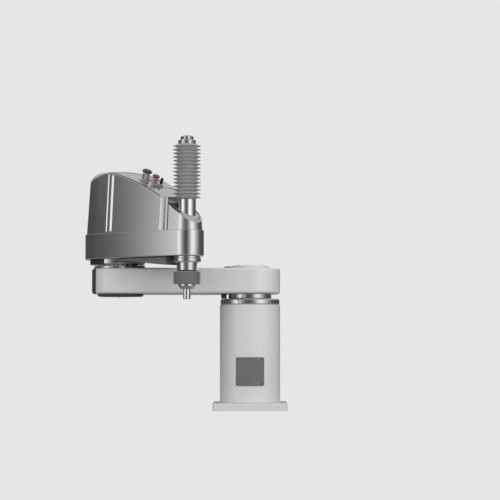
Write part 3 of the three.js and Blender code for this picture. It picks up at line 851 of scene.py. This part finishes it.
def side_rib(name, x, width, height, side):
    """A low rib up the cover's side. Its broad face leans a little towards the nose."""
    sample = between(arm2_half(), x - 0.01, x + 300)[-1]
    low, high = SEAM + 3, crest_height(x) - 5
    section = rounded([(-width / 2, -2), (width / 2, -2), (width / 2, height * 0.25, height * 0.2),
                       (-width / 2, height, height * 0.3)], 4)
    rings = []
    for z, grow in ((low, 0.0), (low + height * 0.3, 0.6), (low + height, 1.0),
                    (high - height, 1.0), (high - height * 0.3, 0.6), (high, 0.0)):
        lean = COVER_INSET + (z - SEAM) * COVER_DRAFT
        ring = []
        for along, out in section:
            shift = -lean + (out * grow if out > 0 else out)
            ring.append((sample[0] + sample[2] * shift + sample[3] * along,
                         side * (sample[1] + sample[3] * shift - sample[2] * along), z))
        rings.append(ring)
    return add_piece(name, joined_rings(rings), ARM2, "arm2", "satin_nickel")


LIP_PROFILE = [
    (318.4, 1.2), (318.1, 0.4), (317.5, -0.3), (316.4, -0.8), (309.0, -0.8), (307.8, -0.4),
    (307.1, 0.4), (306.8, 3.2), (303.8, 3.2), (303.5, 1.6), (302.9, 1.1), (301.9, 0.9),
    (293.0, 0.9), (291.6, 0.6), (290.4, 0.15), (289.0, 0)]


def arm2_covers():
    half = arm2_half()

    def side_samples(xs):
        return [between(half, x, x + 200)[-1] for x in xs]

    lip = side_samples([x for x, _ in LIP_PROFILE])
    main = lip + between(half, -200, LIP_PROFILE[-1][0] - 0.5)
    main_sinks = [sink for _, sink in LIP_PROFILE] + [0] * (len(main) - len(lip))
    edge = ((NOSE_JOINT + 3.2, 0), (NOSE_JOINT + 2.1, 0.3), (NOSE_JOINT + 1.6, 0.85),
            (NOSE_JOINT + 1.2, 1.6))
    nose = between(half, edge[0][0] + 0.5, 600) + side_samples([x for x, _ in edge])
    nose_sinks = [0] * (len(nose) - len(edge)) + [sink for _, sink in edge]

    cover = replace_node("arm2_main_cover", cover_shell(main, main_sinks, 0, MAIN_CREST), ARM2)
    drop_loose(cover)
    hole = swept(rounded_square(70.8, 100.8, 4.4), [(0, -14), (0, 14)])
    relief = cylinder_shape(BELLOWS_RELIEF, 690, 860, AT_SPINDLE, 96)
    cut_by(cover, placed(hole, panel_frame()), relief)
    tip = replace_node(
        "arm2_nose_cover", cover_shell(nose, nose_sinks, len(nose) - 1, NOSE_CREST), ARM2)
    drop_loose(tip)
    cut_by(tip, cylinder_shape(BOSS_HOLE, 560, 760, AT_SPINDLE, 96))
    for side in (1, -1):
        for i, (x, width, height) in enumerate(RIBS):
            name = f"side_rib_{i + 1}_{'left' if side > 0 else 'right'}"
            side_rib(name, x, width, height, side)
    # Both are white paint in place of the cover's metal: painted light that fills the shade in the
    # gap under the cover's lip, so that it isn't a dark hole.
    end = between(half, BULKHEAD[0], BULKHEAD[0] + 200)[-1]
    hoop = cover_hoop(end, COVER_WALL - 0.5, 0, MAIN_CREST)
    wall = joined_rings([[(x, y, z) for _, y, z in hoop] for x in BULKHEAD])
    bulkhead = add_piece("arm2_bulkhead", wall, ARM2, "arm2", "white_paint")
    cut_by(bulkhead, relief)
    rings = []
    for sample in side_samples((302.4, 308, 314, 320, 326)):
        top = cover_hoop(sample, 0, 0.4, NOSE_CREST)[RIM_START + 3:-RIM_START - 3]
        rings.append(top + [(x, y, z - 3) for x, y, z in reversed(top)])
    add_piece("arm2_nose_tongue", joined_rings(rings), ARM2, "arm2", "white_paint")
    # Dark bands along both covers' rims, in black plastic and dark metal: painted shade and
    # painted reflection of the rounded top edges.
    for side, word in ((1, "left"), (-1, "right")):
        painted_rim_shade(f"main_painted_rim_shade_{word}", range(50, 287, 6), side, MAIN_CREST, "black_plastic")
        painted_rim_shade(f"nose_painted_rim_shade_{word}", range(322, 370, 4), side, NOSE_CREST, "dark_metal",
                 (14, 15, 16, 17, 18))


def arm2_housing():
    floor = SKIRT_BOTTOM + 8
    profile = rounded([
        (-40, SKIRT_BOTTOM), (0, SKIRT_BOTTOM, 3), (0, SEAM - 0.6, 1.2), (-6, SEAM - 0.6, 0.5),
        (-6, floor, 3), (-40, floor)], 5)
    housing = replace_node("arm2_housing", swept(mirrored(arm2_half()), profile), ARM2)
    cut_by(housing, cylinder_shape(47, SKIRT_BOTTOM - 2, floor + 2, ARM2, 96),
           cylinder_shape(24, SKIRT_BOTTOM - 2, floor + 2, AT_SPINDLE, 96))


def build_arm2():
    arm2_housing()
    arm2_covers()
    soften_node("arm2_bottom_pan", 3)
    half = arm2_half()
    for side in (1, -1):
        for i, x in enumerate((114, 194, 278)):
            sample = between(half, x, x + 300)[-1]
            lean = 15.9
            point = ARM2 @ Vector((sample[0] - sample[2] * lean,
                                   side * (sample[1] - sample[3] * lean), SKIRT_BOTTOM - 6))
            normal = ARM2.to_3x3() @ Vector((sample[2], side * sample[3], 0))
            cap_screw(f"pan_screw_{i + 1}_{'left' if side > 0 else 'right'}",
                      lay_flat(point, normal), "arm2", 3.0, 1.6)
    low, high = level("j2_upper_ring"), level("j2_upper_ring", high=True)
    ring = turned([(46, low, 0.5), (89, low, 1), (92, low + 3, 1), (92, high, 0.6), (46, high)])
    replace_node("j2_upper_ring", ring, AT_J2)
    soften_node("j2_moving_stop", 1.2)
    # A thin black band laid round part of the upper ring's outside.
    dark_band = [[(radius * math.cos(turn), radius * math.sin(turn), z)
              for radius, z in ((92.2, low), (93.6, low), (93.6, high), (92.2, high))]
             for turn in (math.radians(226 + 64 * i / 16) for i in range(17))]
    add_piece("j2_ring_dark_band", joined_rings(dark_band), ARM2, "arm2", "black_plastic")


FITTINGS = (
    {"x": -14, "y": -38, "radius": 12.5, "height": 32, "ring": 17, "ring_height": 10.4},
    {"x": -14, "y": 6, "radius": 9.6, "height": 18, "ring": 12.5, "ring_height": 9.4})


def build_panel():
    panel = panel_frame()
    edge = rounded([(-3, -6), (0, -6, 0.4), (0, 1, 0.8), (-3, 1)], 4)
    plate = swept(rounded_square(*PANEL_SIZE, PANEL_CORNER), edge)
    obj = replace_node("user_plate", plate, panel)
    at_button = panel @ Matrix.Translation((*BUTTON_AT, 0))
    cut_by(obj, cylinder_shape(5.6, -8, 3, at_button, 48))
    for i, (x, y) in enumerate(((1, 1), (-1, 1), (-1, -1), (1, -1))):
        at = panel @ Matrix.Translation((x * 30.5, y * 45.5, 1))
        cap_screw(f"panel_screw_{i + 1}", at, "arm2", 2.6, 1.2)
    for i, size in enumerate(FITTINGS):
        at = panel @ Matrix.Translation((size["x"], size["y"], 1.3))
        height, ring = size["height"], size["ring"]
        air_fitting(f"user_air_fitting_{i + 1}", at, height, size["radius"])
        top = height + size["ring_height"]
        collar = turned([
            (4.4, height - 2), (ring * 0.5, height - 2, 0.3), (ring * 0.5, height + 0.5, 0.2),
            (ring, height + 1.2, 1.4), (ring, height + 5.4, 3), (ring * 0.72, top, 2.4),
            (4.4, top, 0.8)], count=64)
        replace_node(f"release_ring_{i + 1}", collar, at)
    soften_node("user_connector", 0.8)
    spots = []
    for row in range(2):
        for column_number in range(8):
            spots.append(panel @ Matrix.Translation(
                (21 + row * 4, -12 + (column_number - 3.5) * 4, 4.9)))
    pins("user_connector_pins", spots, 0.7, 1.6, "arm2")
    button = swept(circle(64), rounded([(2, -4), (5, -4, 0.3), (5, 24, 1.6), (2, 24)], 6))
    replace_node("brake_release_button", button, at_button)


# Spindle.

def pleat_radius(share, inner, outer):
    """The radius along one pleat: a broad valley and a narrow crest."""
    return inner + (outer - inner) * (1 - abs(2 * share - 1)) ** 1.25


def pleated(bottom, top, pleats, steps, wall, inner=30, outer=46):
    """The profile of a pleated skin from `bottom` to `top`, closed by its own inside."""
    pitch = (top - bottom) / pleats
    outside = []
    for p in range(pleats):
        for s in range(steps):
            share = s / steps
            outside.append((pleat_radius(share, inner, outer), bottom + (p + share) * pitch))
    outside.append((inner, top))
    inside = [(radius - wall, z) for radius, z in reversed(outside)]
    return outside + inside


def upper_bellows():
    low, high = level("upper_bellows"), level("upper_bellows", high=True)
    shape = swept(circle(96), pleated(low, high, 15, 12, 1.3), loop=True)
    piece = replace_node("upper_bellows", shape, AT_SPINDLE, crease=100)
    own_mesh(piece)


def lower_bellows():
    """One piece per pleat, each baked in place where it stands and riding on no body."""
    low, high = level("lower_bellows"), level("lower_bellows", high=True)
    pleats = 15
    pitch = (high - low) / pleats
    for p in range(pleats):
        top = high - p * pitch
        bottom = top - pitch
        shape = swept(circle(96), pleated(bottom, top, 1, 8, 0.6, inner=41), loop=True)
        piece = add_piece(f"lower_bellows_pleat_{p + 1}", shape, AT_SPINDLE, "arm2",
                          NODE_SLOTS["lower_bellows"], ("lower_bellows",), 100, ride=False)
        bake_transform(piece)


def spindle_shaft():
    """A bar with three straight grooves, chamfered at both ends."""
    low, high = level("spindle_shaft"), level("spindle_shaft", high=True)
    radius = 12.5
    count = 144
    ring = []
    for i in range(count):
        t = 2 * math.pi * i / count
        away = abs((math.degrees(t) + 60) % 120 - 60)
        ring.append((t, 1.3 * (1 - smooth_step(5, 11, away))))
    levels = [(low, 1.2), (low + 1.2, 0), (high - 1.2, 0), (high, 1.2)]
    rings = []
    for z, shrink in levels:
        reach = [(t, radius - shrink - groove) for t, groove in ring]
        rings.append([(r * math.cos(t), r * math.sin(t), z) for t, r in reach])
    shaft = replace_node("spindle_shaft", joined_rings(rings), AT_SPINDLE)
    for z in (low, high):
        cut_by(shaft, cylinder_shape(7, z - 6, z + 6, AT_SPINDLE, 64))


def stop_collar():
    low, high = level("shaft_stop_collar"), level("shaft_stop_collar", high=True)
    ring = turned([(12.9, low, 0.4), (21, low, 1.2), (21, high, 1.2), (12.9, high, 0.4)])
    collar = replace_node("shaft_stop_collar", ring, AT_SPINDLE)
    facing = Matrix.Rotation(-math.pi / 2 - ARM2_HEADING, 4, "Z")
    slit = placed(box_shape(10, 24, -1.0, 1.0, low - 2, high + 2), AT_SPINDLE @ facing)
    notches = [placed(box_shape(18, 24, -1.6, 1.6, low + 2, high + 2),
                      AT_SPINDLE @ facing @ Matrix.Rotation(math.radians(turn), 4, "Z"))
               for turn in (-62, -34, 34, 62)]
    cut_by(collar, slit, *notches)
    at = AT_SPINDLE @ facing @ Matrix.Translation((17, -5, (low + high) / 2))
    at = at @ Matrix.Rotation(math.pi / 2, 4, "X")
    cap_screw("stop_collar_screw", at @ Matrix.Translation((0, 0, 4)), "spindle", 2.6, 2.4,
              "dark_metal")


def build_spindle():
    upper_bellows()
    lower_bellows()
    spindle_shaft()
    stop_collar()
    low, high = level("bellows_boss"), level("bellows_boss", high=True)
    boss = turned([(15, low), (29, low), (29, high, 1.5), (15, high, 0.8)])
    replace_node("bellows_boss", boss, AT_SPINDLE)
    low, high = level("spindle_lower_flange"), level("spindle_lower_flange", high=True)
    shoulder = high - 18.7
    flange = turned([(14, low, 0.5), (31, low, 1), (33, low + 4, 1), (33, shoulder, 1.5),
                     (46, shoulder, 1.5), (46, high - 7, 1), (44, high - 6, 0.6), (44, high, 0.4),
                     (14, high)])
    replace_node("spindle_lower_flange", flange, AT_SPINDLE)
    for i in range(6):
        turn = Matrix.Rotation(math.radians(60 * i + 20), 4, "Z")
        at = AT_SPINDLE @ turn @ Matrix.Translation((39.5, 0, shoulder))
        cap_screw(f"flange_screw_{i + 1}", at @ Matrix.Rotation(math.pi, 4, "X"), "arm2", 3.4, 3.2)
    low, high = level("upper_bellows_collar"), level("upper_bellows_collar", high=True)
    cap = turned([(12.9, low), (29, low, 0.6), (29, low + 4, 0.5), (27.8, low + 4.6, 0.4),
                  (27.8, low + 6.4, 0.4), (29, low + 7, 0.5), (29, high - 1, 2), (25, high, 1),
                  (12.9, high, 0.5)])
    replace_node("upper_bellows_collar", cap, AT_SPINDLE)
    low, high = level("lower_bellows_collar"), level("lower_bellows_collar", high=True)
    cup = turned([(12.9, low, 0.5), (19, low, 1.5), (29, low + 9, 2), (29, high, 0.6),
                  (12.9, high)])
    replace_node("lower_bellows_collar", cup, AT_SPINDLE)


def carry_over():
    """Nodes kept as they are, mostly inside: each takes its slot's finish."""
    for name, obj in frame["nodes"].items():
        if obj.hide_render:
            continue
        obj.data.materials.clear()
        obj.data.materials.append(MATERIALS[NODE_SLOTS[name]])


# Stage, light and camera.

PALE = (0.791, 0.791, 0.791, 1)
CAMERA_DISTANCE = 6.3
CAMERA_HEIGHT = 0.202
CAMERA_PITCH = math.radians(3.09)
LENS = 133.4


def area_light(name, azimuth, height, distance, width, tall, power, target=(-0.15, 0, 0.5)):
    """A soft panel. Azimuth 0 is behind the camera and grows to the right."""
    a = math.radians(azimuth)
    at = Vector((math.sin(a) * distance, -math.cos(a) * distance, height))
    data = bpy.data.lights.new(name, "AREA")
    data.shape = "RECTANGLE"
    data.size = width
    data.size_y = tall
    data.energy = power
    light = bpy.data.objects.new(name, data)
    bpy.context.scene.collection.objects.link(light)
    aim = Vector(target) - at
    light.location = at
    light.rotation_euler = aim.to_track_quat("-Z", "Y").to_euler()
    return light


# The studio round the arm: two tall softboxes in dim surroundings. Azimuths are in degrees: 0 is
# behind the camera and they grow to the right. A softbox is even between its two edges and fades
# away over its reach on either side.
SURROUND = 0.1
SOFTBOXES = (
    {"edges": (-60, -50), "reach": (30, 44), "glow": 1.35},
    {"edges": (34, 50), "reach": (38, 60), "glow": 1.3})
FADE_STEPS = 6
OVERHEAD = 0.66


def horizon_stops():
    """(azimuth, brightness) once round the horizon, from each softbox's even part and fades."""
    stops = [(-180, SURROUND)]
    fade = [i / FADE_STEPS for i in range(FADE_STEPS + 1)]
    for box in SOFTBOXES:
        (left, right), (before, after) = box["edges"], box["reach"]
        stops += [(left - before * (1 - t), SURROUND + box["glow"] * t * t) for t in fade]
        stops += [(right + after * t, SURROUND + box["glow"] * (1 - t) ** 2) for t in fade]
    return stops + [(180, SURROUND)]


def make_world():
    world = bpy.data.worlds.new("studio")
    bpy.context.scene.world = world
    n = Nodes(world)
    output = n.add("ShaderNodeOutputWorld")
    way = n.add("ShaderNodeTexCoord")
    parts = n.add("ShaderNodeSeparateXYZ")
    n.link(way, "Generated", parts, "Vector")
    ahead = n.add("ShaderNodeMath", operation="MULTIPLY")
    ahead.inputs[1].default_value = -1
    n.link(parts, "Y", ahead, 0)
    azimuth = n.add("ShaderNodeMath", operation="ARCTAN2")
    n.link(parts, "X", azimuth, 0)
    n.link(ahead, "Value", azimuth, 1)
    share = n.add("ShaderNodeMapRange")
    share.inputs["From Min"].default_value = -math.pi
    share.inputs["From Max"].default_value = math.pi
    n.link(azimuth, "Value", share, "Value")
    ring = n.add("ShaderNodeValToRGB")
    stops = ring.color_ramp.elements
    while len(stops) > 1:
        stops.remove(stops[-1])
    for i, (degrees, value) in enumerate(horizon_stops()):
        place = (degrees + 180) / 360
        stop = stops[0] if i == 0 else stops.new(place)
        stop.position = place
        stop.color = (value, value, value, 1)
    n.link(share, "Result", ring, "Fac")
    rise = n.add("ShaderNodeMapRange", interpolation_type="SMOOTHSTEP")
    rise.inputs["From Min"].default_value = 0.12
    rise.inputs["From Max"].default_value = 0.52
    n.link(parts, "Z", rise, "Value")
    sky = n.add("ShaderNodeMix", data_type="RGBA")
    sky.inputs[7].default_value = (OVERHEAD, OVERHEAD, OVERHEAD, 1)
    n.link(rise, "Result", sky, 0)
    n.link(ring, "Color", sky, 6)
    around = n.add("ShaderNodeBackground", Strength=1.0)
    n.tree.links.new(sky.outputs[2], around.inputs["Color"])
    seen = n.add("ShaderNodeBackground", Color=PALE, Strength=1.0)
    path = n.add("ShaderNodeLightPath")
    mix = n.add("ShaderNodeMixShader")
    n.link(path, "Is Camera Ray", mix, 0)
    n.link(around, "Background", mix, 1)
    n.link(seen, "Background", mix, 2)
    n.link(mix, "Shader", output, "Surface")


def make_floor():
    size = 30
    mesh = bpy.data.meshes.new("floor")
    mesh.from_pydata([(-size, -size, 0), (size, -size, 0), (size, size, 0), (-size, size, 0)], [],
                     [(0, 1, 2, 3)])
    floor = bpy.data.objects.new("floor", mesh)
    bpy.context.scene.collection.objects.link(floor)
    material = bpy.data.materials.new("floor")
    n = Nodes(material)
    output = n.add("ShaderNodeOutputMaterial")
    glow = n.add("ShaderNodeEmission", Color=PALE, Strength=1.0)
    matte = n.add("ShaderNodeBsdfDiffuse", Color=(0.35, 0.35, 0.35, 1))
    mix = n.add("ShaderNodeMixShader")
    path = n.add("ShaderNodeLightPath")
    n.link(path, "Is Camera Ray", mix, 0)
    n.link(matte, "BSDF", mix, 1)
    n.link(glow, "Emission", mix, 2)
    n.link(mix, "Shader", output, "Surface")
    mesh.materials.append(material)


def make_lights():
    key = area_light("key", 28, 2.3, 3.4, 2.8, 2.8, 46, target=(0, 0, 0.3))
    key.visible_glossy = False
    fill = area_light("fill", -24, 0.35, 3.6, 3.0, 3.0, 54, target=(-0.1, 0, 0.4))
    fill.visible_glossy = False
    side = area_light("side", 64, 0.8, 3.6, 2.4, 2.4, 16, target=(0, 0, 0.4))
    side.visible_glossy = False


def make_camera():
    data = bpy.data.cameras.new("camera")
    data.lens = LENS
    data.sensor_width = 36
    data.clip_end = 100
    camera = bpy.data.objects.new("camera", data)
    camera.location = (0, -CAMERA_DISTANCE, CAMERA_HEIGHT)
    camera.rotation_euler = (math.pi / 2 + CAMERA_PITCH, 0, 0)
    bpy.context.scene.collection.objects.link(camera)
    bpy.context.scene.camera = camera
    bpy.context.scene.view_settings.view_transform = "Standard"


make_camera()
make_world()
make_floor()
make_lights()
build_base()
build_arm1()
build_arm2()
build_panel()
build_spindle()
carry_over()
